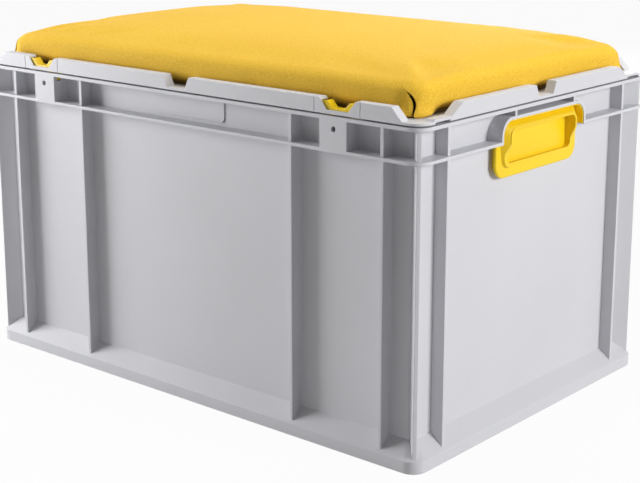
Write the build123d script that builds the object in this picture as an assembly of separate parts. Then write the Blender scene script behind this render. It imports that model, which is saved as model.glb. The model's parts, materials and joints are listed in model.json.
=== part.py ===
"""Stacking box with a hinged lid that carries an upholstered seat.

Frame: origin under the middle of the base, X along the long sides, -Y the latch side, +Z up.
"""
import os
from math import cos, radians, sin

from build123d import *

# Container: outline, walls and flanges
LENGTH, WIDTH, HEIGHT = 600.0, 400.0, 320.0
OUTLINE_RADIUS = 15.0
RECESS = 16.5                 # wall face behind the flange edges
WALL = 2.5
WALL_RADIUS = 9.0
RIB_SETBACK = 3.0             # rib edges behind the flange edges
RIB = 4.0
TOP_FLANGE = 3.6
LOW_FLANGE_Z, LOW_FLANGE = 286.4, 3.2
EDGE_ROUND = 0.6
PLINTH_FACE, PLINTH_TOP = 12.0, 26.0
FLOOR_LOW, FLOOR_TOP = 3.5, 7.0
FOOT_RING = 18.0
LONG_RIBS_X = (147.0, 255.3)
END_RIBS_Y = 154.0
CORNER_RIB_INSET = 6.2

# Boxed seal plates and label pad in the upper band of the long sides
PLATE_X0, PLATE_X1, PLATE_SKIN = 185.5, 217.5, 3.0
SEAL_X, SEAL_Z, SEAL_R = 202.0, 308.3, 2.7
LABEL_HALF, LABEL_LOW, LABEL_RAISE, LABEL_RADIUS = 50.7, 293.0, 1.0, 5.0

# Grip shells and the arches round them
ARCH_HALF, ARCH_TOP, ARCH_RADIUS, ARCH_STRIP = 74.5, 311.5, 17.0, 3.0
ARCH_RIB_Y, ARCH_RIB = 52.0, 3.0
WINDOW_HALF, WINDOW_LOW, WINDOW_TOP, WINDOW_RADIUS = 58.0, 258.0, 300.0, 8.0
SHELL_HALF, SHELL_LOW, SHELL_TOP = 71.0, 251.5, 308.2
SHELL_FACE = 8.5              # frame's face, behind the flange edges
SHELL_BACK = 16.3
SHELL_SKIN = 2.5
FRAME_PLATE, FRAME_UNDERCUT, FRAME_ROUND = 2.7, 5.0, 1.5
FRAME_TOP_R, FRAME_LOW_R, CORE_R = 13.0, 14.0, 9.0
LINING, LINING_SETBACK = 1.0, 0.8          # wall of the shell inside the arch
POCKET_HALF, POCKET_LOW, POCKET_TOP = 56.0, 266.0, 298.0
POCKET_FLOOR, POCKET_ROOF = 11.5, 304.2
POCKET_R, POCKET_ROOF_R = 6.0, 9.0
RELIEF_EDGE = 1.5                          # hollow back of the shell, inside the window's edge
SNAP_Y, SNAP_HALF, SNAP_THICK, SNAP_BARB = 30.0, 7.0, 2.0, 2.0
LIP_BEND_TOP, LIP_BEND_LOW, LIP_BAND, LIP_SETBACK = 289.0, 271.0, 2.5, 0.2
LIP_FOOT_INSET, LIP_FOOT_R, LIP_EDGE_R = 0.4, 10.0, 8.0
POCKET_RIM, POCKET_RIM_HALF, POCKET_RIM_LOW = 5.8, 60.5, 260.5
CREASE, CREASE_DEPTH = 0.9, 1.1

# Lid: rim, deck, ridges and notches
LID_EDGE = 0.3                # lid outline inside the container outline
RIM_LOW, DECK_TOP, RIDGE_TOP = 321.4, 324.0, 336.0
RIDGE_THICK, RIDGE_SKIN = 10.2, 2.5
LONG_RIDGE_TOP, LONG_RIDGE_FOOT = 267.0, 279.0
END_RIDGE_TOP, END_RIDGE_FOOT = 138.0, 157.0
NOTCH_TOP, NOTCH_FOOT = 17.6, 12.3
BRIDGE_FOOT, BRIDGE_TOP, BRIDGE_RISE = (154.0, 182.0), (155.0, 179.0), 1.8
BRIDGE_SLOT_Y, BRIDGE_SLOT = (157.0, 179.0), 1.7
EMBED = 0.5                                # how far pieces on the deck run into it
SKIRT_LOW, SKIRT_GAP, SKIRT = 313.0, 1.2, 2.5
DECK_RIBS_X, DECK_RIBS_Y, DECK_RIB = (-150.0, -50.0, 50.0, 150.0), (-60.0, 60.0), 2.5

# Slide latches, given for the +X one; the other is its mirror image
LATCH_X0, LATCH_X1 = 179.0, 232.6          # seams of the latch bay
LATCH_TOP = (184.8, 227.8)                 # finger notch, at the ridge top
LATCH_FOOT = (193.6, 218.6)                # finger notch, at its floor
LATCH_FLOOR, LATCH_COVER = 325.2, 1.2      # the latch's plate reaches behind the ridge by the second
LATCH_BAND, LATCH_BAND_FLOOR = 5.5, 1.8    # edge of the plate that shows inside the finger notch
LATCH_PLATE, LATCH_WALL = 1.5, 1.5
BAY_SKIN = 1.2                             # ridge wall in front of the latch
HOOK_TIP, HOOK_STEM, HOOK_END = 185.8, 194.8, 200.8
HOOK_THICK, HOOK_DROP = 3.5, 0.3
RAIL, RAIL_BACK, RAIL_TOP = 1.5, 1.1, 322.4
SEAM = 0.8
GAP = 0.3

# Hinges on the +Y side
HINGE_X, HINGE_Y, HINGE_Z = 101.0, 196.0, 324.2
PIN_R, PIN_LENGTH, PIN_PLAY, PIN_HELD, PIN_ROUND = 2.0, 41.6, 0.06, 0.02, 0.6
KNUCKLE_R, KNUCKLE_PLAY, LID_KNUCKLE, LUG_IN, LUG_OUT = 3.6, 0.1, 8.7, 9.0, 21.0
BRACKET_HALF, BRACKET_LOW, BRACKET_PLATE, BRACKET_GAP, LUG_LOW = 26.0, 292.0, 4.0, 0.05, 300.0
HINGE_SCREW_X, HINGE_SCREW_Z = 15.0, 300.0
HINGE_SCREW_R, HINGE_SCREW_HEAD_R, HINGE_SCREW_HEAD, HINGE_SCREW_LENGTH = 1.75, 3.4, 2.0, 11.0
SCREW_BITE = 0.2                           # pilot holes under the thread's radius, clear holes over it
HEAD_ROUND, CROSS_LENGTH, CROSS_WIDTH = 0.45, 1.1, 0.9

# Seat: board, foam and cover
BOARD_LOW, BOARD_TOP, BOARD_INSET = 325.6, 333.6, 9.0
COVER = 1.2
COVER_TURN_IN = 30.0
CUSHION_HALF_X, CUSHION_HALF_Y, CUSHION_CORNER = 285.2, 187.7, 27.0
CROWN_CORNER = 0.8                         # largest corner radius on the crown, as a share of its half width
CUSHION_FOOT, BELLY_TOP = 324.4, 346.0
FOOT_ROUND, FOOT_STEPS = 8.0, 3            # drawn-in lower edge
SHOULDER, SHOULDER_STEPS = 14.0, 5         # rounded top edge
CROWN_RISE, CROWN_RUN, CROWN_STEPS = 9.0, 150.0, 5
SCREWS_XY = [(x, y) for x in (-200.0, 0.0, 200.0) for y in (-120.0, 120.0)]
SCREW_R, SCREW_HOLE_R, SCREW_HEAD_R, SCREW_HEAD, SCREW_TIP, PILOT_SPARE = 2.0, 2.4, 4.2, 2.4, 331.5, 0.5
BOSS_R = 8.0
STAPLE_LENGTH, STAPLE_WIRE, STAPLE_LEG, STAPLE_INSET = 10.0, 0.7, 6.0, 20.0
STAPLES_X, STAPLES_Y = range(-240, 241, 80), range(-140, 141, 70)

FLANGE_Y, FLANGE_X = WIDTH / 2, LENGTH / 2
WALL_Y, WALL_X = FLANGE_Y - RECESS, FLANGE_X - RECESS
RIB_Y, RIB_X = FLANGE_Y - RIB_SETBACK, FLANGE_X - RIB_SETBACK
TOP_FLANGE_Z = HEIGHT - TOP_FLANGE
LID_Y, LID_X = FLANGE_Y - LID_EDGE, FLANGE_X - LID_EDGE
HOOK_TOP = TOP_FLANGE_Z - HOOK_DROP
LATCH_FRONT = -LID_Y + RIDGE_SKIN          # inner face of the ridge's outer wall
LATCH_BACK = -LID_Y + RIDGE_THICK
HOOK_Y0, HOOK_Y1 = LATCH_FRONT + RAIL + GAP, LATCH_BACK - RAIL_BACK - GAP


def block(x0, x1, y0, y1, z0, z1):
    """Box between two corners."""
    return Pos((x0 + x1) / 2, (y0 + y1) / 2, (z0 + z1) / 2) * Box(x1 - x0, y1 - y0, z1 - z0)


def plate(length, width, radius, z0, z1):
    """Flat plate with rounded corners, centred on Z."""
    return Pos(0, 0, z0) * extrude(RectangleRounded(length, width, radius), z1 - z0)


def soften(shape, axis, groups, radius):
    """Round the edges in the lowest (0) and highest (-1) groups along an axis."""
    edges = shape.edges().group_by(axis)
    return fillet([edge for group in groups for edge in edges[group]], radius)


def along_x(sketch, x0, x1):
    """Extrude a (Y, Z) sketch from x0 to x1."""
    return Pos(x0, 0, 0) * extrude(Plane.YZ * sketch, x1 - x0)


def along_y(sketch, y0, y1):
    """Extrude an (X, Z) sketch from y0 to y1."""
    return Pos(0, y1, 0) * extrude(Plane.XZ * sketch, y1 - y0)


def trapezoid(foot, top, low, high):
    """Trapezoid sketch from two (start, end) spans."""
    return Polygon((foot[0], low), (foot[1], low), (top[1], high), (top[0], high), align=None)


def hood(half, low, high, top_radius, low_radius=0.0):
    """Rectangle sketch with rounded upper, and perhaps lower, corners."""
    sketch = Pos(0, (low + high) / 2) * Rectangle(2 * half, high - low)
    corners = sketch.vertices().group_by(Axis.Y)
    sketch = fillet(corners[-1], top_radius)
    if low_radius:
        sketch = fillet(sketch.vertices().group_by(Axis.Y)[0], low_radius)
    return sketch


def flared(half_low, half_top, low, high, radius):
    """Trapezoid sketch with rounded corners, symmetric about its middle."""
    sketch = trapezoid((-half_low, half_low), (-half_top, half_top), low, high)
    return fillet(sketch.vertices(), radius)


def twin_x(shape):
    """A shape and its mirror image across the YZ plane."""
    return [shape, mirror(shape, about=Plane.YZ)]


def twin_y(shape):
    """A shape and its mirror image across the XZ plane."""
    return [shape, mirror(shape, about=Plane.XZ)]


def four(shape):
    """A shape mirrored into all four quadrants."""
    return [copy for half in twin_x(shape) for copy in twin_y(half)]


def rod(radius, x, y, z, length, axis):
    """Cylinder that starts at a point and runs along +X, +Y or +Z."""
    turn = {"x": (0, 90, 0), "y": (-90, 0, 0), "z": (0, 0, 0)}[axis]
    return Pos(x, y, z) * Rot(*turn) * Pos(0, 0, length / 2) * Cylinder(radius, length)


def plinth():
    """Base ring with an upright face and a slope up to the walls."""
    foot = plate(LENGTH, WIDTH, OUTLINE_RADIUS, 0, PLINTH_FACE)
    slope = loft([
        Pos(0, 0, PLINTH_FACE) * RectangleRounded(LENGTH, WIDTH, OUTLINE_RADIUS),
        Pos(0, 0, PLINTH_TOP) * RectangleRounded(2 * WALL_X, 2 * WALL_Y, WALL_RADIUS),
    ])
    return soften(foot, Axis.Z, [0], EDGE_ROUND) + slope


def container_ribs():
    """Upright ribs on the long sides, the ends and the corners."""
    ribs = []
    for x in LONG_RIBS_X:
        rib = block(x - RIB / 2, x + RIB / 2, WALL_Y - 1, RIB_Y, PLINTH_FACE, TOP_FLANGE_Z + 1)
        ribs += four(fillet(rib.edges().filter_by(Axis.Z).group_by(Axis.Y)[-1], EDGE_ROUND))
    y0, y1 = END_RIBS_Y - RIB / 2, END_RIBS_Y + RIB / 2
    rib = block(WALL_X - 1, RIB_X, y0, y1, PLINTH_FACE, TOP_FLANGE_Z + 1)
    ribs += four(fillet(rib.edges().filter_by(Axis.Z).group_by(Axis.X)[-1], EDGE_ROUND))
    reach = 2 ** 0.5 * (RECESS + WALL_RADIUS - CORNER_RIB_INSET)
    rib = Box(reach, RIB, TOP_FLANGE_Z + 1 - PLINTH_FACE)
    rib = fillet(rib.edges().filter_by(Axis.Z).group_by(Axis.X)[-1], EDGE_ROUND)
    mid = (CORNER_RIB_INSET + RECESS + WALL_RADIUS) / 2
    x, y = FLANGE_X - mid, FLANGE_Y - mid
    ribs += four(Pos(x, y, (PLINTH_FACE + TOP_FLANGE_Z + 1) / 2) * Rot(0, 0, 45) * rib)
    return ribs


def container_body():
    """Moulded box: walls, plinth, flanges, ribs, seal plates and handle arches."""
    body = plinth() + plate(2 * WALL_X, 2 * WALL_Y, WALL_RADIUS, 0, HEIGHT)
    top = plate(LENGTH, WIDTH, OUTLINE_RADIUS, TOP_FLANGE_Z, HEIGHT)
    top = soften(top, Axis.Z, [0, -1], EDGE_ROUND)
    low = plate(LENGTH, WIDTH, OUTLINE_RADIUS, LOW_FLANGE_Z, LOW_FLANGE_Z + LOW_FLANGE)
    low = soften(low, Axis.Z, [0, -1], EDGE_ROUND)
    inner_half = ARCH_HALF - ARCH_STRIP
    low -= twin_x(block(WALL_X, FLANGE_X + 1, -inner_half, inner_half, LOW_FLANGE_Z - 1, TOP_FLANGE_Z))
    plate_box = block(PLATE_X0, PLATE_X1, WALL_Y - 1, FLANGE_Y, LOW_FLANGE_Z, TOP_FLANGE_Z + 1)
    plate_box = fillet(plate_box.edges().filter_by(Axis.Z).group_by(Axis.Y)[-1], EDGE_ROUND)
    label = hood(LABEL_HALF, -TOP_FLANGE_Z, -LABEL_LOW, LABEL_RADIUS)
    label = along_y(mirror(label, about=Plane.XZ), -WALL_Y - LABEL_RAISE, -WALL_Y + 1)
    arch = hood(ARCH_HALF, LOW_FLANGE_Z, ARCH_TOP, ARCH_RADIUS)
    arch -= hood(inner_half, LOW_FLANGE_Z - 1, ARCH_TOP - ARCH_STRIP, ARCH_RADIUS - ARCH_STRIP)
    arch = along_x(arch, WALL_X - 1, FLANGE_X)
    y0, y1 = ARCH_RIB_Y - ARCH_RIB / 2, ARCH_RIB_Y + ARCH_RIB / 2
    arch_rib = block(WALL_X - 1, FLANGE_X, y0, y1, ARCH_TOP - 1, TOP_FLANGE_Z + 1)
    body += [top, low, *container_ribs(), *four(plate_box), *twin_y(label)]
    body += [*twin_x(arch), *four(arch_rib)]

    inner_x, inner_y = WALL_X - WALL, WALL_Y - WALL
    hollow = plate(2 * inner_x, 2 * inner_y, WALL_RADIUS - WALL, FLOOR_TOP, HEIGHT + 1)
    under = plate(LENGTH - 2 * FOOT_RING, WIDTH - 2 * FOOT_RING, WALL_RADIUS, -1, FLOOR_LOW)
    plate_hollow = block(
        PLATE_X0 + PLATE_SKIN, PLATE_X1 - PLATE_SKIN, WALL_Y, FLANGE_Y - PLATE_SKIN,
        LOW_FLANGE_Z - 1, TOP_FLANGE_Z)
    seal_hole = rod(SEAL_R, SEAL_X, FLANGE_Y - PLATE_SKIN - 1, SEAL_Z, PLATE_SKIN + 2, "y")
    window = hood(WINDOW_HALF, WINDOW_LOW, WINDOW_TOP, WINDOW_RADIUS, WINDOW_RADIUS)
    window = along_x(window, inner_x - 1, WALL_X + 1)
    body -= [hollow, under, *four(plate_hollow), *four(seal_hole), *twin_x(window)]

    y0, y1 = HOOK_Y0 - GAP, HOOK_Y1 + GAP
    hook_slot = block(HOOK_TIP - GAP, HOOK_END + GAP, y0, y1, TOP_FLANGE_Z - 1, HEIGHT + 1)
    hook_way = block(
        PLATE_X0 - 1, PLATE_X0 + PLATE_SKIN + 1, y0, y1, HOOK_TOP - HOOK_THICK - 1, TOP_FLANGE_Z)
    body -= [*twin_x(hook_slot), *twin_x(hook_way)]
    for side in (-HINGE_X, HINGE_X):
        for start in (-LUG_OUT, LUG_IN):
            lug_x = side + start
            body -= block(
                lug_x - GAP, lug_x + LUG_OUT - LUG_IN + GAP, HINGE_Y - KNUCKLE_R - GAP, FLANGE_Y + 1,
                TOP_FLANGE_Z - 1, HEIGHT + 1)
        for x in (side - HINGE_SCREW_X, side + HINGE_SCREW_X):
            body -= rod(HINGE_SCREW_R + SCREW_BITE, x, inner_y - 1, HINGE_SCREW_Z, WALL + 2, "y")
    return body


def ridge_long():
    """Front ridge of the lid, with its hollow, centre notch and latch bays."""
    shape = trapezoid(
        (-LONG_RIDGE_FOOT, LONG_RIDGE_FOOT), (-LONG_RIDGE_TOP, LONG_RIDGE_TOP), DECK_TOP - EMBED, RIDGE_TOP)
    ridge = soften(along_y(shape, -LID_Y, LATCH_BACK), Axis.Z, [-1], EDGE_ROUND)
    notch = trapezoid((-NOTCH_FOOT, NOTCH_FOOT), (-NOTCH_TOP, NOTCH_TOP), DECK_TOP, RIDGE_TOP)
    return ridge - along_y(notch, -LID_Y - 1, LATCH_BACK + 1)


def ridge_hollows(spans):
    """Cavities inside the front ridge, open below, over the given X spans."""
    y0, y1, top = LATCH_FRONT, LATCH_BACK - RIDGE_SKIN, RIDGE_TOP - RIDGE_SKIN
    return [block(x0, x1, y0, y1, RIM_LOW - 1, top) for x0, x1 in spans]


def ridge_end():
    """Short-end ridge of the lid at +X, with its notch."""
    shape = trapezoid(
        (-END_RIDGE_FOOT, END_RIDGE_FOOT), (-END_RIDGE_TOP, END_RIDGE_TOP), DECK_TOP - EMBED, RIDGE_TOP)
    ridge = soften(along_x(shape, LID_X - RIDGE_THICK, LID_X), Axis.Z, [-1], EDGE_ROUND)
    notch = trapezoid((-NOTCH_FOOT, NOTCH_FOOT), (-NOTCH_TOP, NOTCH_TOP), DECK_TOP, RIDGE_TOP)
    ridge -= along_x(notch, LID_X - RIDGE_THICK - 1, LID_X + 1)
    return ridge


def latch_bay():
    """Space for one slide latch in the front ridge: slide way, rails, finger notch and seams."""
    x0, x1 = LATCH_X0 + SEAM / 2, LATCH_X1 - SEAM / 2
    way = block(x0, x1, -LID_Y + BAY_SKIN, LATCH_BACK + 1, RAIL_TOP, RIDGE_TOP - RIDGE_SKIN)
    between_rails = block(x0, x1, LATCH_FRONT + RAIL, LATCH_BACK - RAIL_BACK, RIM_LOW - 1, RAIL_TOP + 1)
    notch = trapezoid(LATCH_FOOT, LATCH_TOP, LATCH_FLOOR, RIDGE_TOP)
    notch = along_y(notch, -LID_Y - 1, LATCH_BACK + 1)
    seams = [
        block(x - SEAM / 2, x + SEAM / 2, -LID_Y - 1, -LID_Y + SEAM, RIM_LOW - 1, RIDGE_TOP + 1)
        for x in (LATCH_X0, LATCH_X1)
    ]
    return [way, between_rails, notch, *seams]


def lid_hinge_cut():
    """Rounded lower rear edge, the windows for the bracket lugs and the pin bores."""
    relief = block(-LENGTH, LENGTH, HINGE_Y, FLANGE_Y + 1, HEIGHT - 1, HINGE_Z)
    relief -= rod(KNUCKLE_R + KNUCKLE_PLAY, -LENGTH, HINGE_Y, HINGE_Z, 2 * LENGTH, "x")
    cuts = [relief]
    for side in (-HINGE_X, HINGE_X):
        for start in (-LUG_OUT - GAP, LID_KNUCKLE):
            lug_x = side + start
            cuts.append(block(
                lug_x, lug_x + LUG_OUT - LUG_IN + 2 * GAP, HINGE_Y - KNUCKLE_R - GAP, FLANGE_Y + 1,
                RIM_LOW - 1, HINGE_Z + KNUCKLE_R + 2))
        cuts.append(rod(PIN_R + PIN_PLAY, side - LUG_OUT, HINGE_Y, HINGE_Z, 2 * LUG_OUT, "x"))
    return cuts


def lid_shell():
    """Moulded lid: deck, hollow ridges, slotted corner bridges, skirt and stiffening ribs."""
    lid = plate(2 * LID_X, 2 * LID_Y, OUTLINE_RADIUS - LID_EDGE, RIM_LOW, DECK_TOP)
    lid = soften(lid, Axis.Z, [0, -1], EDGE_ROUND)
    bridge = trapezoid(BRIDGE_FOOT, BRIDGE_TOP, DECK_TOP - EMBED, DECK_TOP + BRIDGE_RISE)
    bridge = along_x(bridge, LID_X - RIDGE_THICK, LID_X - LID_EDGE)
    lid += [*twin_y(ridge_long()), *twin_x(ridge_end()), *four(bridge)]
    lid -= four(block(
        LID_X - RIDGE_THICK - 3, LID_X + 1, *BRIDGE_SLOT_Y, RIM_LOW - 1, RIM_LOW + BRIDGE_SLOT))

    edge = NOTCH_TOP + RIDGE_SKIN
    plain = LONG_RIDGE_TOP - RIDGE_SKIN
    front = [(edge, LATCH_X0 - RIDGE_SKIN), (LATCH_X1 + RIDGE_SKIN, plain)]
    front += [(-x1, -x0) for x0, x1 in front]
    knuckle = LID_KNUCKLE + GAP
    rear = [(edge, HINGE_X - knuckle), (HINGE_X + knuckle, plain)]
    rear += [(-x1, -x0) for x0, x1 in rear]
    lid -= ridge_hollows(front) + [mirror(cut, about=Plane.XZ) for cut in ridge_hollows(rear)]
    lid -= four(block(
        LID_X - RIDGE_THICK + RIDGE_SKIN, LID_X - RIDGE_SKIN, edge, END_RIDGE_TOP - RIDGE_SKIN,
        RIM_LOW - 1, RIDGE_TOP - RIDGE_SKIN))
    for cut in latch_bay():
        lid -= twin_x(cut)
    lid -= lid_hinge_cut()

    inner_x, inner_y = WALL_X - WALL - SKIRT_GAP, WALL_Y - WALL - SKIRT_GAP
    skirt = plate(2 * inner_x, 2 * inner_y, WALL_RADIUS - WALL, SKIRT_LOW, RIM_LOW + 1)
    skirt -= plate(2 * (inner_x - SKIRT), 2 * (inner_y - SKIRT), WALL_RADIUS - WALL, SKIRT_LOW - 1, RIM_LOW)
    lid += skirt
    half = DECK_RIB / 2
    for x in DECK_RIBS_X:
        lid += block(x - half, x + half, -inner_y + 1, inner_y - 1, SKIRT_LOW, RIM_LOW + 1)
    for y in DECK_RIBS_Y:
        lid += block(-inner_x + 1, inner_x - 1, y - half, y + half, SKIRT_LOW, RIM_LOW + 1)
    lid += [rod(BOSS_R, x, y, DECK_TOP - EMBED, BOARD_LOW - DECK_TOP + EMBED, "z") for x, y in SCREWS_XY]
    holes = [rod(SCREW_HOLE_R, x, y, RIM_LOW - 1, BOARD_LOW - RIM_LOW + 2, "z") for x, y in SCREWS_XY]
    return lid - holes


def latch():
    """Slide latch at +X: finger trough that runs in the ridge, and its hook."""
    top = RIDGE_TOP - RIDGE_SKIN - GAP
    share = (top - LATCH_FLOOR) / (RIDGE_TOP - LATCH_FLOOR)
    inner_top = [foot + (edge - foot) * share for foot, edge in zip(LATCH_FOOT, LATCH_TOP)]
    low, wing = RAIL_TOP + GAP, LATCH_X1 - SEAM / 2 - 2 * GAP
    plate_edge = Polygon(
        (LATCH_FOOT[0] - LATCH_COVER, low), (wing, low), (wing, top), (inner_top[0] - LATCH_COVER, top),
        align=None)
    foot0, foot1 = LATCH_FOOT[0] + LATCH_BAND, LATCH_FOOT[1] - LATCH_BAND
    top0, top1 = inner_top[0] + LATCH_BAND, inner_top[1] - LATCH_BAND
    inner = trapezoid((foot0, foot1), (top0, top1), LATCH_FLOOR + LATCH_BAND_FLOOR, top + 1)
    walls = trapezoid(
        (foot0 - LATCH_WALL, foot1 + LATCH_WALL), (top0 - LATCH_WALL, top1 + LATCH_WALL), low, top)
    front = -LID_Y + BAY_SKIN + GAP
    trough = along_y(walls - inner, front, LATCH_BACK - GAP)
    trough += along_y(plate_edge - inner, front, front + LATCH_PLATE)
    stem = block(HOOK_STEM, HOOK_END, HOOK_Y0, HOOK_Y1, HOOK_TOP - HOOK_THICK, low + 1)
    foot = block(HOOK_TIP, HOOK_END, HOOK_Y0, HOOK_Y1, HOOK_TOP - HOOK_THICK, HOOK_TOP)
    return trough + stem + foot


def hinge_bracket():
    """Hinge bracket at +X: screwed plate with two lugs that reach up through the flange."""
    back = WALL_Y + BRACKET_GAP
    top = TOP_FLANGE_Z - GAP
    bracket = block(-BRACKET_HALF, BRACKET_HALF, back, back + BRACKET_PLATE, BRACKET_LOW, top)
    for start in (-LUG_OUT, LUG_IN):
        end = start + LUG_OUT - LUG_IN
        bracket += block(start, end, back, HINGE_Y + KNUCKLE_R, LUG_LOW, top)
        bracket += block(start, end, HINGE_Y - KNUCKLE_R, HINGE_Y + KNUCKLE_R, LUG_LOW, HINGE_Z)
        bracket += rod(KNUCKLE_R, start, HINGE_Y, HINGE_Z, end - start, "x")
    bracket -= rod(PIN_R + PIN_HELD, -LUG_OUT - 1, HINGE_Y, HINGE_Z, 2 * LUG_OUT + 2, "x")
    for x in (-HINGE_SCREW_X, HINGE_SCREW_X):
        bracket -= rod(HINGE_SCREW_R - SCREW_BITE, x, back - 1, HINGE_SCREW_Z, HINGE_SCREW_LENGTH + 1, "y")
    return Pos(HINGE_X, 0, 0) * bracket


def hinge_pin():
    """Steel hinge pin at +X with rounded ends."""
    pin = rod(PIN_R, HINGE_X - PIN_LENGTH / 2, HINGE_Y, HINGE_Z, PIN_LENGTH, "x")
    return soften(pin, Axis.X, [0, -1], PIN_ROUND)


def pan_screw(radius, head_radius, head, length):
    """Pan-head screw with a cross recess, its head below Z = 0 and its shank along +Z."""
    screw = rod(radius, 0, 0, -EMBED, length + EMBED, "z")
    cap = rod(head_radius, 0, 0, -head, head, "z")
    screw += soften(cap, Axis.Z, [0], head * HEAD_ROUND)
    for turn in (0, 90):
        screw -= Pos(0, 0, -head) * Rot(0, 0, turn) * Box(head_radius * CROSS_LENGTH, CROSS_WIDTH, head)
    return screw


def hinge_screws():
    """Screws from inside the box into the hinge brackets."""
    screw = pan_screw(HINGE_SCREW_R, HINGE_SCREW_HEAD_R, HINGE_SCREW_HEAD, HINGE_SCREW_LENGTH)
    face = WALL_Y - WALL
    xs = [side + x for side in (-HINGE_X, HINGE_X) for x in (-HINGE_SCREW_X, HINGE_SCREW_X)]
    return Compound([Pos(x, face, HINGE_SCREW_Z) * Rot(-90, 0, 0) * screw.solid() for x in xs])


def seat_screws():
    """Screws from under the deck into the seat board."""
    screw = pan_screw(SCREW_R, SCREW_HEAD_R, SCREW_HEAD, SCREW_TIP - RIM_LOW)
    return Compound([Pos(x, y, RIM_LOW) * screw.solid() for x, y in SCREWS_XY])


def grip_shell():
    """Closed grip shell at +X: frame, hooded lip, pocket and snap hooks."""
    face, back = FLANGE_X - SHELL_FACE, FLANGE_X - SHELL_BACK
    behind = face - FRAME_PLATE
    frame = along_x(hood(SHELL_HALF, SHELL_LOW, SHELL_TOP, FRAME_TOP_R, FRAME_LOW_R), behind, face)
    frame = soften(frame, Axis.X, [-1], FRAME_ROUND)
    core = hood(
        SHELL_HALF - FRAME_UNDERCUT, SHELL_LOW + FRAME_UNDERCUT, SHELL_TOP - FRAME_UNDERCUT, CORE_R, CORE_R)
    frame += along_x(core, back, behind + 1)

    lip_foot = flared(
        POCKET_RIM_HALF, SHELL_HALF - LIP_FOOT_INSET, POCKET_RIM_LOW, SHELL_TOP - LIP_FOOT_INSET, LIP_FOOT_R)
    lip_edge = hood(
        POCKET_HALF + LIP_BAND, POCKET_LOW - LIP_BAND, POCKET_TOP + LIP_BAND, LIP_EDGE_R, LIP_EDGE_R)
    lip_face = FLANGE_X - LIP_SETBACK
    lip = loft([
        Plane.YZ * Pos(0, 0, face - 1) * lip_foot,
        Plane.YZ * Pos(0, 0, lip_face) * lip_edge,
    ])
    rim = FLANGE_X - POCKET_RIM
    bend = Spline((FLANGE_X, LIP_BEND_TOP), (rim, LIP_BEND_LOW), tangents=((0, -1), (0, -1)))
    rest = Polyline(
        (rim, LIP_BEND_LOW), (rim, SHELL_LOW - 5), (back, SHELL_LOW - 5), (back, SHELL_TOP + 5),
        (FLANGE_X, SHELL_TOP + 5), (FLANGE_X, LIP_BEND_TOP))
    lip &= along_y(make_face([bend, rest]), -SHELL_HALF - 5, SHELL_HALF + 5)
    outer, radius = LIP_BAND + CREASE, LIP_EDGE_R + CREASE
    crease = hood(POCKET_HALF + outer, POCKET_LOW - outer, POCKET_TOP + outer, radius, radius) - lip_edge
    lip -= along_x(crease, lip_face - CREASE_DEPTH, FLANGE_X + 1)

    half, top = ARCH_HALF - ARCH_STRIP - GAP, ARCH_TOP - ARCH_STRIP - GAP
    radius = ARCH_RADIUS - ARCH_STRIP - GAP
    lining = hood(half, LOW_FLANGE_Z + 1, top, radius)
    lining -= hood(half - LINING, LOW_FLANGE_Z, top - LINING, radius - LINING)
    lining = along_x(lining, face - 1, FLANGE_X - LINING_SETBACK)

    floor = FLANGE_X - POCKET_FLOOR
    deep = hood(POCKET_HALF, POCKET_LOW - 1, POCKET_ROOF, POCKET_ROOF_R, POCKET_R)
    mouth = hood(POCKET_HALF, POCKET_LOW, POCKET_TOP, POCKET_R, POCKET_R)
    pocket = loft([Plane.YZ * Pos(0, 0, floor) * deep, Plane.YZ * Pos(0, 0, FLANGE_X + 1) * mouth])
    radius = WINDOW_RADIUS - RELIEF_EDGE
    relief = hood(
        WINDOW_HALF - RELIEF_EDGE, WINDOW_LOW + RELIEF_EDGE, WINDOW_TOP - RELIEF_EDGE, radius, radius)
    relief = along_x(relief, back - 1, floor - SHELL_SKIN)
    shell = frame + lip + lining - pocket - relief
    inside = WALL_X - WALL
    tip = inside - GAP - SNAP_THICK
    for y0 in (-SNAP_Y - SNAP_HALF, SNAP_Y - SNAP_HALF):
        y1 = y0 + 2 * SNAP_HALF
        for edge, out in ((WINDOW_TOP, 1), (WINDOW_LOW, -1)):
            root = edge - out * (GAP + SNAP_THICK)
            shell += block(tip, back + 1, y0, y1, *sorted((edge - out * GAP, root)))
            shell += block(tip, inside - GAP, y0, y1, *sorted((edge + out * SNAP_BARB, root)))
    return shell


def cushion_sections():
    """Height and inset of each level of the cushion, from its drawn-in foot to its crown."""
    levels = []
    for step in range(FOOT_STEPS + 1):
        turn = radians(90 * step / FOOT_STEPS)
        levels.append((CUSHION_FOOT + FOOT_ROUND * (1 - cos(turn)), FOOT_ROUND * (1 - sin(turn))))
    levels.append((BELLY_TOP, 0.0))
    for step in range(1, SHOULDER_STEPS + 1):
        turn = radians(90 * step / SHOULDER_STEPS)
        levels.append((BELLY_TOP + SHOULDER * sin(turn), SHOULDER * (1 - cos(turn))))
    for step in range(1, CROWN_STEPS + 1):
        way = step / CROWN_STEPS
        rise = CROWN_RISE * (1 - (1 - way) ** 2)
        levels.append((BELLY_TOP + SHOULDER + rise, SHOULDER + CROWN_RUN * way))
    return levels


def cushion(shrink, foot):
    """Crowned cushion form, shrunk all round and cut off at a foot height."""
    sections = []
    for z, inset in cushion_sections():
        half_x, half_y = CUSHION_HALF_X - inset - shrink, CUSHION_HALF_Y - inset - shrink
        level = z if z < BOARD_TOP else z - shrink
        corner = min(CUSHION_CORNER - shrink, CROWN_CORNER * half_y)
        sections.append(Pos(0, 0, level) * RectangleRounded(2 * half_x, 2 * half_y, corner))
    form = loft(sections, ruled=True)
    return form & block(-LENGTH, LENGTH, -WIDTH, WIDTH, foot, 2 * HEIGHT)


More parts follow.
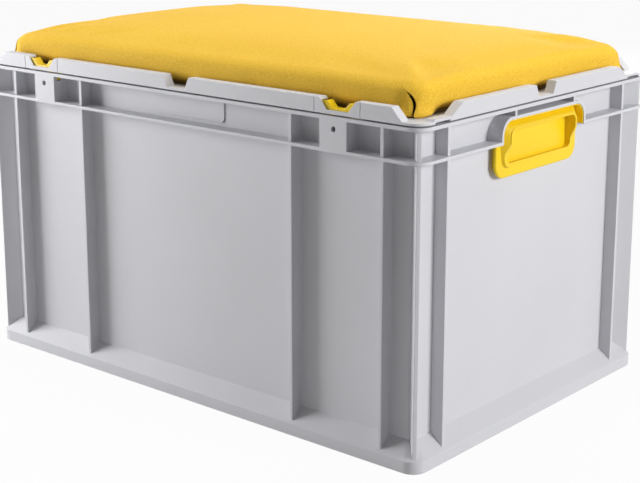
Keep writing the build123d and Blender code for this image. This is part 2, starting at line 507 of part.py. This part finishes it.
def seat_cover():
    """Fabric cover: skin over the foam, turned in under the board."""
    cover = cushion(0.0, CUSHION_FOOT) - cushion(COVER, BOARD_LOW)
    foot_x, foot_y = CUSHION_HALF_X - COVER_TURN_IN, CUSHION_HALF_Y - COVER_TURN_IN
    return cover - plate(2 * foot_x, 2 * foot_y, CUSHION_CORNER, CUSHION_FOOT - 1, BOARD_LOW + 0.1)


def board_blank(grow, low):
    """Seat board without its holes, grown sideways, from a low face to the board's top."""
    half_x, half_y = CUSHION_HALF_X - BOARD_INSET + grow, CUSHION_HALF_Y - BOARD_INSET + grow
    return plate(2 * half_x, 2 * half_y, CUSHION_CORNER - COVER, low, BOARD_TOP)


def seat_board():
    """Plywood seat board with pilot holes."""
    depth = SCREW_TIP - BOARD_LOW + PILOT_SPARE
    holes = [rod(SCREW_R - SCREW_BITE, x, y, BOARD_LOW - 1, depth + 1, "z") for x, y in SCREWS_XY]
    return board_blank(0.0, BOARD_LOW) - holes


def seat_foam():
    """Foam over the board and round its edge."""
    return cushion(COVER + GAP, BOARD_LOW) - board_blank(GAP, BOARD_LOW - 1)


def cover_staples():
    """Staples that hold the turned-in cover to the board."""
    low, wire, end = CUSHION_FOOT - GAP, STAPLE_WIRE / 2, STAPLE_LENGTH / 2
    staple = block(-end, end, -wire, wire, low, low + STAPLE_WIRE)
    for x0 in (-end, end - STAPLE_WIRE):
        staple += block(x0, x0 + STAPLE_WIRE, -wire, wire, low, low + STAPLE_LEG)
    half_x, half_y = CUSHION_HALF_X - STAPLE_INSET, CUSHION_HALF_Y - STAPLE_INSET
    places = [(x, side * half_y, 0) for side in (-1, 1) for x in STAPLES_X]
    places += [(side * half_x, y, 90) for side in (-1, 1) for y in STAPLES_Y]
    return Compound([Pos(x, y, 0) * Rot(0, 0, turn) * staple.solid() for x, y, turn in places])


def sub_parts():
    """Every piece of the object by name."""
    parts = {
        "container_body": container_body(),
        "lid_shell": lid_shell(),
        "seat_board": seat_board(),
        "seat_foam": seat_foam(),
        "seat_cover": seat_cover(),
        "cover_staples": cover_staples(),
        "seat_screws": seat_screws(),
        "hinge_screws": hinge_screws(),
    }
    pairs = {
        "latch": latch(),
        "hinge_bracket": hinge_bracket(),
        "hinge_pin": hinge_pin(),
        "grip_shell": grip_shell(),
    }
    for name, shape in pairs.items():
        right, left = twin_x(shape)
        parts[name + "_right"] = right
        parts[name + "_left"] = left
    return parts


os.makedirs("parts", exist_ok=True)
for node, shape in sub_parts().items():
    export_step(shape, f"parts/{node}.step")
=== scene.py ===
"""Stacking box with a seat lid: finishes, upholstered cushion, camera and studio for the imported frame."""

import json
from math import pi, radians

import bmesh
import bpy
import numpy as np
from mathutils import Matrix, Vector


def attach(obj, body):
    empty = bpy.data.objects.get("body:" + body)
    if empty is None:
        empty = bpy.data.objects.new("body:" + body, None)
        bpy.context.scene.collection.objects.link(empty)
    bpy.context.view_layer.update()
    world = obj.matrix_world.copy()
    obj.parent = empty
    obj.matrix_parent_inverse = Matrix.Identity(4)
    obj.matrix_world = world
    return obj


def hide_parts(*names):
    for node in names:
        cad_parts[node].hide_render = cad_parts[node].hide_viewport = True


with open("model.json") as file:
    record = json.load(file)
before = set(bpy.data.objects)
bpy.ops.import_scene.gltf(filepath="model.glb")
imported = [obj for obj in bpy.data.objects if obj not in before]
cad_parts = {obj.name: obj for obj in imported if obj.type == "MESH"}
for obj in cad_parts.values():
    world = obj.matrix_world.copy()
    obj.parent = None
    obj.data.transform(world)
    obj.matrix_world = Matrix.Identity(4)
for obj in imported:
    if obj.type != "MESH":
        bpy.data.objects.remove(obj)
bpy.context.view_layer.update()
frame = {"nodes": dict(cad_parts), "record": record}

MM = 0.001

# Cushion, in millimetres: the form of the seat cover's solid
HALF_X, HALF_Y = 285.2, 187.7
PLAN_CORNER = 27.0
FOOT_Z, SHOULDER_Z = 324.4, 360.0
SHOULDER_ROUND, FOOT_ROUND = 14.0, 3.0
CROWN_RISE, CROWN_RUN = 9.0, 150.0
DROOP_RUN = 95.0
CROWN_BAND = (12.0, 2.0)                   # depths below the shoulder between which the crown sets in
FOOT_BAND = 8.0                            # lowest part of the sides, which doesn't droop
SIDE_SLACK, TOP_SLACK = -0.6, 1.2          # how much smaller the blank is, below 0 where it is larger
CORNER_STEPS, SHOULDER_STEPS, FOOT_STEPS = 9, 6, 4
VOXEL = 6.0
NEAR, WELD = 0.1, 0.01                     # tolerance for picking edges, and distance of doubles to merge

# Stuffing: cloth settings, number of frames, height of the held foot and largest swell in millimetres
PRESSURE, CLOTH_MASS, STRETCH, BENDING, CLOTH_QUALITY = 4.0, 0.25, 18, 0.8, 5
SIM_FRAMES, HELD_FOOT, SWELL_CAP = 20, 4.0, 4.0

# Folded corners, front right first: how far the corner is pulled down, and the fold's distance from the
# cushion's end at its top and foot
CORNERS = {
    (1, -1): (4.0, 15.6, 9.0),
    (-1, -1): (8.0, 12.0, 10.5),
    (1, 1): (8.0, 14.6, 8.2),
    (-1, 1): (7.5, 13.8, 7.6),
}
FOLD_TOP, FOLD_FOOT, FOLD_BEND = 346.8, FOOT_Z, 3.8
FOLD_BAND = (21.0, 15.0)                   # distances from the long side between which a fold sets in
FOLD_SPAN, RISE_CAP = 60.0, 1.3            # reach along the long side, and largest share of the height
FOLD_SHADE = "fold_shade"                  # attribute of painted shade: 1 deep inside a fold or under the cushion's edge
FLAP_RISE, FLAP_WIDTH, FLAP_EDGE = 0.9, 9.0, 0.5
TUCK_DEPTH, TUCK_WIDTH = 0.7, 13.0
PLEAT_FADE = (1.25, 0.6)                   # shares of the height between which flap and tuck set in
SLIT_DEPTH, SLIT_WIDTH, SLIT_LEAST, SLIT_HOLLOW = 7.0, 1.9, 0.01, 0.6
SLIT_FOOT, SLIT_FULL = 0.4, 0.6            # share of the width at the foot, and height of the full width
SLIT_FADE = (1.06, 0.8)                    # shares of the height between which the slit sets in
SLIT_SHADE = (0.02, 0.35)                  # shares of the depth between which painted shade darkens the slit
CORNER_CUTS, FOLD_CUTS = 3, 1              # how often faces at the corners and along the folds are split
FINE_X, FINE_Y, FINE_FOOT, FINE_TOP = 32.0, 20.0, 0.2, 6.0     # extent of the split faces at a corner
FINE_WAY, FINE_RISE = 3.5, (0.01, 1.15)    # distance from a fold, and shares of its height, that are split
CORNER_REACH, CORNER_TIP = 44.0, 22.0      # stretch beside each corner where the cover meets the rim
DRAW_IN, DRAW_HIGH, DRAW_LOW, DRAW_RUN = 8.2, 335.0, 328.0, 30.0
# Painted shade under the drawn-in edge: heights between which it sets in, and its strength
UNDER_HIGH, UNDER_LOW, UNDER_SHADE = 331.0, 327.5, 0.85

# Unevenness of the sides: mean and swing, waves of length, size and phase, and the stretch it sets in over
PULL_MEAN, PULL_SWING = 0.45, 0.35
PULL_WAVES = ((83, 1.0, 0.7), (47, 0.7, 2.1))
PULL_BAND, PULL_INSET, PULL_SIDE = 8.0, (8.0, 3.0), 9.0

# Camera, in metres and degrees
EYE = (1.03196, -1.19199, 0.55770)
HEADING, PITCH = 40.445, 13.285
LENS, FRAME_SHIFT = 82.5, -0.0805

# Studio: place and size of each softbox in metres, and its power in watts
SOFTBOXES = {
    "left_softbox": ((-1.35, -0.78, 0.50), 0.7, 26),
    "right_softbox": ((2.6, 0.4, 1.0), 0.9, 54),
    "top_softbox": ((0.08, 0.05, 1.25), 0.7, 7.4),
    "rear_softbox": ((-0.9, 2.4, 0.8), 0.9, 14),
}
AIM = (0, 0, 0.2)
FLOOR_SIZE, FLOOR_TONE, FLOOR_WHITE = 14.0, 0.66, 0.95
AIR_LEVEL = 0.13


class Value:
    """A shader socket that takes part in arithmetic; each operation adds a Math node."""

    def __init__(self, nodes, socket):
        self.nodes = nodes
        self.socket = socket

    def math(self, operation, *others, first=None):
        values = (self, *others) if first is None else (first, self)
        return self.nodes.node("Math", {"operation": operation}, dict(enumerate(values)))

    def __add__(self, other):
        return self.math("ADD", other)

    __radd__ = __add__

    def __sub__(self, other):
        return self.math("SUBTRACT", other)

    def __rsub__(self, other):
        return self.math("SUBTRACT", first=other)

    def __mul__(self, other):
        return self.math("MULTIPLY", other)

    __rmul__ = __mul__

    def at_least(self, other):
        return self.math("MAXIMUM", other)

    def clamp(self):
        return self.at_least(0.0).math("MINIMUM", 1.0)

    def sine(self):
        return self.math("SINE")


class Nodes:
    """A node tree, and the one method that adds nodes to it."""

    def __init__(self, tree):
        self.tree = tree

    def node(self, kind, settings=None, sockets=None, output=0):
        """Adds a node: its settings first, then the values or links of its sockets."""
        node = self.tree.nodes.new("ShaderNode" + kind)
        for key, value in (settings or {}).items():
            setattr(node, key, value)
        for key, value in (sockets or {}).items():
            self.plug(node.inputs[key], value)
        return Value(self, node.outputs[output])

    def plug(self, socket, value):
        if isinstance(value, Value):
            self.tree.links.new(value.socket, socket)
        else:
            socket.default_value = value

    def sees_background(self):
        """1 for rays that see a surface directly, in a reflection or through glass."""
        camera, glossy, clear = [
            self.node("LightPath", output=f"Is {ray} Ray") for ray in ("Camera", "Glossy", "Transmission")
        ]
        return camera.at_least(glossy).at_least(clear)


class Finish(Nodes):
    """A node material built round one Principled shader."""

    def __init__(self, name):
        self.material = bpy.data.materials.new(name)
        self.material.use_nodes = True
        super().__init__(self.material.node_tree)
        self.shader = self.tree.nodes["Principled BSDF"]
        self.object_point = self.node("TexCoord", output="Object")

    def set(self, **sockets):
        for key, value in sockets.items():
            self.plug(self.shader.inputs[key.replace("_", " ")], value)

    def noise(self, scale, detail=3.0, stretch=None):
        """Noise in object space; scale is in cells per metre, stretch a scale per axis."""
        point = self.object_point
        if stretch:
            point = self.node("Mapping", None, {"Vector": point, "Scale": stretch})
        return self.node("TexNoise", None, {"Vector": point, "Scale": scale, "Detail": detail})

    def ramp(self, value, low, high):
        """0 below low, 1 above high."""
        return self.node("MapRange", None, {"Value": value, "From Min": low, "From Max": high})

    def mix(self, share, low, high):
        """Colour between two colours by a share."""
        return self.node("Mix", {"data_type": "RGBA"}, {0: share, 6: low, 7: high}, output=2)

    def bump(self, height, strength, distance, normal=None):
        sockets = {"Height": height, "Strength": strength, "Distance": distance}
        if normal:
            sockets["Normal"] = normal
        return self.node("Bump", None, sockets)

    def rounded(self, radius):
        """Normal with every hard edge rounded off by a small radius."""
        return self.node("Bevel", {"samples": 6}, {"Radius": radius})

    def edge_share(self, rounded):
        """Share of a surface point that lies on an edge, from its rounded normal."""
        flat = self.node("NewGeometry", output="Normal")
        facing = self.node("VectorMath", {"operation": "DOT_PRODUCT"}, {0: rounded, 1: flat}, output="Value")
        return self.ramp(1 - facing, 0.004, 0.12)

    def axes(self):
        """The x, y and z of the object point as values."""
        return [self.node("SeparateXYZ", None, {0: self.object_point}, output=axis) for axis in "XYZ"]


def rgb(red, green, blue):
    """Linear colour from display values of 0 to 255."""
    def linear(channel):
        share = channel / 255
        return share / 12.92 if share <= 0.04045 else ((share + 0.055) / 1.055) ** 2.4
    return (linear(red), linear(green), linear(blue), 1.0)


def moulded_plastic(name, shade, worn, grain, gloss):
    """Injection-moulded plastic: fine spark grain, faint flow tint, rubbed edges and hair scratches."""
    finish = Finish(name)
    rounded = finish.rounded(0.5 * MM)
    edge = finish.edge_share(rounded)
    tint = finish.noise(7.0, 4.0)
    streaks = finish.ramp(finish.noise(1.0, 2.0, (9.0, 420.0, 420.0)), 0.66, 0.74)
    speckle = finish.noise(1500.0, 2.0)
    body = finish.mix(finish.ramp(tint, 0.3, 0.7), shade, [0.955 * part for part in shade[:3]] + [1.0])
    finish.set(
        Base_Color=finish.mix((edge * 0.75 * finish.ramp(tint, 0.2, 0.6)).clamp(), body, worn),
        Roughness=gloss + 0.10 * (speckle - 0.5) + 0.12 * (tint - 0.5) + 0.10 * streaks - 0.05 * edge,
        Normal=finish.bump(speckle, grain, 0.12 * MM, rounded),
        Specular_IOR_Level=0.32,
    )
    return finish.material


def woven_cover():
    """Upholstery cloth: plain weave of two thread directions, slub colour, a soft nap and painted shade in
    the folds and under the edge.
    """
    finish = Finish("woven yellow cover")
    x, y, z = finish.axes()
    wander = finish.noise(60.0, 2.0)
    thread = 2 * pi / (1.5 * MM)
    warp = ((x + z + 0.6 * MM * wander) * thread).sine()
    weft = ((y - z + 0.6 * MM * wander) * thread).sine()
    weave = 0.5 + 0.5 * warp * weft
    slub = finish.noise(700.0, 3.0)
    shade = finish.noise(9.0, 3.0)
    # painted shade: the cloth turns deep brown in the folds' slits and under the drawn-in edge, read from
    # the cushion's attribute
    painted_shade = finish.node("Attribute", {"attribute_name": FOLD_SHADE}, output="Fac")
    yellow, pale, deep = rgb(240, 194, 58), rgb(245, 208, 90), rgb(208, 158, 32)
    colour = finish.mix(finish.ramp(slub, 0.32, 0.68), deep, pale)
    colour = finish.mix(0.48, colour, yellow)
    colour = finish.mix(0.18 * weave, colour, deep)
    colour = finish.mix(0.16 * finish.ramp(shade, 0.3, 0.7), colour, deep)
    finish.set(
        Base_Color=finish.mix(painted_shade, colour, rgb(52, 30, 6)),
        Roughness=0.78 + 0.10 * (weave - 0.5) + 0.08 * (shade - 0.5),
        Normal=finish.bump(0.7 * weave + 0.6 * slub, 0.32, 0.25 * MM),
        Sheen_Weight=0.03,
        Sheen_Roughness=0.45,
        Specular_IOR_Level=0.12,
    )
    return finish.material


def zinc_steel():
    """Zinc-plated steel: dull metal with fine drawn lines."""
    finish = Finish("zinc plated steel")
    drawn = finish.noise(1.0, 3.0, (300.0, 2600.0, 2600.0))
    spangle = finish.noise(420.0, 3.0)
    finish.set(
        Base_Color=finish.mix(finish.ramp(spangle, 0.3, 0.7), rgb(176, 178, 181), rgb(202, 203, 205)),
        Roughness=0.30 + 0.16 * drawn + 0.10 * (spangle - 0.5),
        Normal=finish.bump(drawn, 0.12, 0.05 * MM, finish.rounded(0.3 * MM)),
        Metallic=1.0,
    )
    return finish.material


def raw_plywood():
    """Raw plywood: long grain on the faces and dark glue lines on the edges."""
    finish = Finish("raw plywood")
    height = finish.axes()[2]
    grain = finish.noise(1.0, 5.0, (5.0, 130.0, 130.0))
    pores = finish.ramp(finish.noise(1.0, 3.0, (40.0, 1300.0, 1300.0)), 0.58, 0.72)
    glue = finish.ramp((height * (2 * pi / (1.6 * MM))).sine(), 0.75, 0.95)
    wood = finish.mix(finish.ramp(grain, 0.3, 0.7), rgb(206, 172, 124), rgb(226, 198, 156))
    wood = finish.mix(0.35 * pores, wood, rgb(150, 112, 70))
    finish.set(
        Base_Color=finish.mix(0.30 * glue, wood, rgb(120, 84, 50)),
        Roughness=0.68 + 0.12 * (grain - 0.5),
        Normal=finish.bump(grain - 0.5 * pores, 0.25, 0.1 * MM),
    )
    return finish.material


def pick_edges(pad, rule):
    """Selects the edges in edit mode whose two ends satisfy a rule."""
    mesh = bmesh.from_edit_mesh(pad.data)
    for edge in mesh.edges:
        edge.select = all(rule(corner.co, edge) for corner in edge.verts)
    mesh.select_flush_mode()
    bmesh.update_edit_mesh(pad.data)


def pad_blank():
    """Box with rounded upright edges, top rim and foot: the cushion before it is inflated."""
    bpy.ops.object.select_all(action="DESELECT")
    half_x, half_y = HALF_X - SIDE_SLACK, HALF_Y - SIDE_SLACK
    low, high = FOOT_Z, SHOULDER_Z - TOP_SLACK
    bpy.ops.mesh.primitive_cube_add(size=1, location=(0, 0, (low + high) / 2 * MM))
    pad = bpy.context.object
    pad.name = pad.data.name = "seat_cushion"
    pad.scale = (2 * half_x * MM, 2 * half_y * MM, (high - low) * MM)
    bpy.ops.object.transform_apply(location=True, rotation=True, scale=True)
    bpy.ops.object.mode_set(mode="EDIT")
    bpy.ops.mesh.select_mode(type="EDGE")
    pick_edges(pad, lambda point, edge: abs((edge.verts[0].co - edge.verts[1].co).z) > NEAR * MM)
    bpy.ops.mesh.bevel(offset=PLAN_CORNER * MM, segments=CORNER_STEPS, affect="EDGES")
    pick_edges(pad, lambda point, edge: point.z > (high - NEAR) * MM)
    bpy.ops.mesh.bevel(offset=SHOULDER_ROUND * MM, segments=SHOULDER_STEPS, affect="EDGES")
    pick_edges(pad, lambda point, edge: point.z < (low + NEAR) * MM)
    bpy.ops.mesh.bevel(offset=FOOT_ROUND * MM, segments=FOOT_STEPS, affect="EDGES")
    bpy.ops.object.mode_set(mode="OBJECT")
    return pad


def points_of(pad):
    """Vertex places of a mesh in millimetres."""
    flat = np.empty(3 * len(pad.data.vertices))
    pad.data.vertices.foreach_get("co", flat)
    return flat.reshape(-1, 3) / MM


def place_points(pad, points):
    pad.data.vertices.foreach_set("co", (points * MM).ravel())
    pad.data.update()


def smooth_step(low, high, value):
    """0 below low, 1 above high and an even curve between them."""
    share = np.clip((value - low) / (high - low), 0, 1)
    return share * share * (3 - 2 * share)


def crown(points):
    """How far each point of the top rises towards the middle of the cushion."""
    def bow(inset):
        way = np.clip((inset - SHOULDER_ROUND) / CROWN_RUN, 0, 1)
        return 1 - (1 - way) ** 2
    share = bow(HALF_X - np.abs(points[:, 0])) * bow(HALF_Y - np.abs(points[:, 1]))
    low, high = (SHOULDER_Z - depth for depth in CROWN_BAND)
    return CROWN_RISE * share * smooth_step(low, high, points[:, 2])


def droop(points):
    """How far the tight cover pulls each point of the upper part down beside a corner."""
    drop = np.zeros(len(points))
    for (side_x, side_y), (depth, *_) in CORNERS.items():
        near_x = np.clip(1 - (HALF_X - side_x * points[:, 0]) / DROOP_RUN, 0, 1)
        near_y = np.clip(1 - (HALF_Y - side_y * points[:, 1]) / DROOP_RUN, 0, 1)
        drop += depth * (near_x * near_y) ** 2
    return drop * smooth_step(FOOT_Z + FOOT_BAND, SHOULDER_Z, points[:, 2])


def inflate(pad):
    """Swells the blank with a short cloth simulation, its foot held, and caps the movement."""
    before = points_of(pad)
    held = pad.vertex_groups.new(name="held foot")
    held.add([int(i) for i in np.flatnonzero(before[:, 2] < FOOT_Z + HELD_FOOT)], 1.0, "REPLACE")
    cloth = pad.modifiers.new("stuffing", "CLOTH")
    cloth.settings.quality = CLOTH_QUALITY
    cloth.settings.mass = CLOTH_MASS
    cloth.settings.tension_stiffness = STRETCH
    cloth.settings.compression_stiffness = STRETCH
    cloth.settings.bending_stiffness = BENDING
    cloth.settings.use_pressure = True
    cloth.settings.uniform_pressure_force = PRESSURE
    cloth.settings.vertex_group_mass = held.name
    cloth.settings.effector_weights.gravity = 0
    cloth.point_cache.frame_start = 1
    cloth.point_cache.frame_end = SIM_FRAMES
    for step in range(1, SIM_FRAMES + 1):
        bpy.context.scene.frame_set(step)
    bpy.ops.object.modifier_apply(modifier=cloth.name)
    bpy.context.scene.frame_set(1)
    pad.vertex_groups.clear()
    moved = points_of(pad) - before
    length = np.linalg.norm(moved, axis=1, keepdims=True)
    moved *= np.minimum(1, SWELL_CAP / np.maximum(length, 1e-6))
    place_points(pad, before + moved)


def refine(pad, chosen, cuts):
    """Splits the faces whose middles a rule chooses."""
    bpy.ops.object.mode_set(mode="EDIT")
    bpy.ops.mesh.select_mode(type="FACE")
    mesh = bmesh.from_edit_mesh(pad.data)
    middles = np.array([face.calc_center_median() for face in mesh.faces]) / MM
    for face, wanted in zip(mesh.faces, chosen(middles)):
        face.select = bool(wanted)
    bmesh.update_edit_mesh(pad.data)
    bpy.ops.mesh.subdivide(number_cuts=cuts, smoothness=0)
    bpy.ops.object.mode_set(mode="OBJECT")


def at_corner(points):
    """Points on the sides of the cushion's four corners."""
    x, y, z = np.abs(points).T
    on_side = (z > FOOT_Z + FINE_FOOT) & (z < SHOULDER_Z - FINE_TOP)
    return (x > HALF_X - FINE_X) & (y > HALF_Y - FINE_Y) & on_side


def fold_way(points, corner):
    """Distance from a fold, plus towards the long side, share of its height, and nearness to its corner."""
    _, top, foot = CORNERS[corner]
    inset_x = HALF_X - corner[0] * points[:, 0]
    inset_y = HALF_Y - corner[1] * points[:, 1]
    rise = np.clip((points[:, 2] - FOLD_FOOT) / (FOLD_TOP - FOLD_FOOT), 0, RISE_CAP)
    slope = (top - foot) * FOLD_BEND * rise ** (FOLD_BEND - 1) / (FOLD_TOP - FOLD_FOOT)
    way = (inset_x - foot - (top - foot) * rise ** FOLD_BEND) / np.hypot(1, slope)
    return way, rise, smooth_step(*FOLD_BAND, inset_y) * (inset_x < FOLD_SPAN)


def along_folds(points):
    """Points close to one of the four folds."""
    low, high = FINE_RISE
    close = np.zeros(len(points), bool)
    for corner in CORNERS:
        way, rise, near = fold_way(points, corner)
        close |= (np.abs(way) < FINE_WAY) & (rise > low) & (rise < high) & (near > 0)
    return close


def fold_corners(pad):
    """Presses a pleat into each corner, the end cloth over the tucked-in long side; returns the painted
    shade of its slit.
    """
    points = points_of(pad)
    normals = np.empty(3 * len(pad.data.vertices))
    pad.data.vertex_normals.foreach_get("vector", normals)
    push, shade = np.zeros(len(points)), np.zeros(len(points))
    for corner in CORNERS:
        way, rise, near = fold_way(points, corner)
        widen = SLIT_FOOT + (1 - SLIT_FOOT) * smooth_step(0, SLIT_FULL, rise)
        half = SLIT_WIDTH / 2 * widen * smooth_step(*SLIT_FADE, rise)
        gap = near * np.clip(1 - np.abs(way) / np.maximum(half, SLIT_LEAST), 0, 1) ** SLIT_HOLLOW
        flap = FLAP_RISE * smooth_step(-FLAP_WIDTH, -FLAP_EDGE, way) * (way < 0)
        tuck = TUCK_DEPTH * smooth_step(TUCK_WIDTH, 0, way) * (way >= 0)
        push += near * smooth_step(*PLEAT_FADE, rise) * (flap - tuck) - SLIT_DEPTH * gap
        shade += smooth_step(*SLIT_SHADE, gap)
    place_points(pad, points + normals.reshape(-1, 3) * push[:, None])
    return shade


def shape_foot(pad):
    """Draws the cover in under the edge, save at the corners, which meet the rim; returns the painted shade
    under it.
    """
    points = points_of(pad)
    inset_x, inset_y = HALF_X - np.abs(points[:, 0]), HALF_Y - np.abs(points[:, 1])
    free = smooth_step(CORNER_TIP, CORNER_REACH, np.maximum(inset_x, inset_y))
    drawn = DRAW_IN * smooth_step(DRAW_HIGH, DRAW_LOW, points[:, 2]) * free
    shade = UNDER_SHADE * smooth_step(UNDER_HIGH, UNDER_LOW, points[:, 2]) * free
    for axis, inset in enumerate((inset_x, inset_y)):
        points[:, axis] -= np.sign(points[:, axis]) * drawn * np.clip(1 - inset / DRAW_RUN, 0, 1)
    place_points(pad, points)
    return shade


def pull_in_sides(pad):
    """Slight unevenness where the stapled cover is drawn tight over the foam."""
    points = points_of(pad)
    x, y, z = points.T
    far, near = PULL_INSET
    along = np.where(np.abs(y) > HALF_Y - PULL_SIDE, x, y)
    ripple = sum(size * np.sin(along * 2 * pi / length + phase) for length, size, phase in PULL_WAVES)
    low = smooth_step(SHOULDER_Z - PULL_BAND, FOOT_Z + PULL_BAND, z)
    inward = low * (PULL_MEAN + PULL_SWING * ripple)
    pull_x = np.sign(x) * inward * smooth_step(HALF_X - far, HALF_X - near, np.abs(x))
    pull_y = np.sign(y) * inward * smooth_step(HALF_Y - far, HALF_Y - near, np.abs(y))
    place_points(pad, points - np.stack((pull_x, pull_y, np.zeros(len(points))), axis=1))


def seat_cushion():
    """Crowned upholstered cushion with folded corners, on the lid."""
    pad = pad_blank()
    pad.data.remesh_voxel_size = VOXEL * MM
    bpy.ops.object.voxel_remesh()
    points = points_of(pad)
    points[:, 2] += crown(points) - droop(points)
    place_points(pad, points)
    inflate(pad)
    finer = pad.modifiers.new("finer", "SUBSURF")
    finer.levels = finer.render_levels = 1
    bpy.ops.object.modifier_apply(modifier=finer.name)
    refine(pad, at_corner, CORNER_CUTS)
    refine(pad, along_folds, FOLD_CUTS)
    shade = shape_foot(pad)
    pull_in_sides(pad)
    shade = np.clip(shade + fold_corners(pad), 0, 1)
    # painted shade, which darkens the cover's colour in the slits and under the edge
    pad.data.attributes.new(FOLD_SHADE, "FLOAT", "POINT").data.foreach_set("value", shade)
    bpy.ops.object.mode_set(mode="EDIT")
    bpy.ops.mesh.select_all(action="SELECT")
    bpy.ops.mesh.remove_doubles(threshold=WELD * MM)
    bpy.ops.mesh.normals_make_consistent(inside=False)
    bpy.ops.object.mode_set(mode="OBJECT")
    bpy.ops.object.shade_smooth()
    pad.data.materials.clear()
    pad.data.materials.append(woven_cover())
    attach(pad, "lid")
    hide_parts("seat_cover", "seat_foam")


def dress_frame():
    """Gives every rigid piece its finish."""
    grey = moulded_plastic("grey moulded plastic", rgb(205, 205, 209), rgb(226, 226, 229), 0.10, 0.45)
    yellow = moulded_plastic("yellow moulded plastic", rgb(240, 204, 26), rgb(250, 224, 86), 0.06, 0.34)
    steel, plywood = zinc_steel(), raw_plywood()
    finishes = {"grey_plastic": grey, "yellow_plastic": yellow, "steel": steel, "plywood": plywood}
    for part in frame["record"]["subparts"]:
        finish = finishes.get(part["material_slot"])
        node = frame["nodes"][part["node"]]
        if finish:
            node.data.materials.clear()
            node.data.materials.append(finish)


def studio_floor():
    """Pale floor that looks white and still takes the object's shadow."""
    bpy.ops.object.select_all(action="DESELECT")
    bpy.ops.mesh.primitive_plane_add(size=FLOOR_SIZE, location=(0, 0, 0))
    floor = bpy.context.object
    floor.name = "studio_floor"
    paint = Finish("studio white")
    matte = paint.node("BsdfDiffuse", None, {"Color": (FLOOR_TONE, FLOOR_TONE, FLOOR_TONE, 1)})
    white = paint.node("Emission", None, {"Color": (1, 1, 1, 1), "Strength": 1})
    seen = paint.node("MixShader", None, {0: FLOOR_WHITE * paint.sees_background(), 1: matte, 2: white})
    paint.plug(paint.tree.nodes["Material Output"].inputs["Surface"], seen)
    floor.data.materials.append(paint.material)


def studio_light():
    """White background, a soft light on each side and behind, and a small one above."""
    world = bpy.data.worlds.new("studio air")
    bpy.context.scene.world = world
    world.use_nodes = True
    air = Nodes(world.node_tree)
    background = air.tree.nodes["Background"]
    background.inputs["Color"].default_value = (1, 1, 1, 1)
    air.plug(background.inputs["Strength"], AIR_LEVEL + (1 - AIR_LEVEL) * air.sees_background())
    for name, (place, size, power) in SOFTBOXES.items():
        lamp = bpy.data.lights.new(name, "AREA")
        lamp.size = size
        lamp.energy = power
        holder = bpy.data.objects.new(name, lamp)
        holder.location = place
        aim = Vector(AIM) - Vector(place)
        holder.rotation_euler = aim.to_track_quat("-Z", "Y").to_euler()
        bpy.context.scene.collection.objects.link(holder)


def photo_camera():
    """Camera at the photograph's viewing angle."""
    camera = bpy.data.objects.new("photo_camera", bpy.data.cameras.new("photo_camera"))
    bpy.context.scene.collection.objects.link(camera)
    camera.location = EYE
    camera.rotation_euler = (radians(90 - PITCH), 0, radians(HEADING))
    camera.data.sensor_fit = "HORIZONTAL"
    camera.data.sensor_width = 36
    camera.data.lens = LENS
    camera.data.shift_y = FRAME_SHIFT
    camera.data.clip_end = 50
    bpy.context.scene.camera = camera


photo_camera()
dress_frame()
seat_cushion()
studio_floor()
studio_light()
bpy.context.scene.view_settings.view_transform = "Standard"
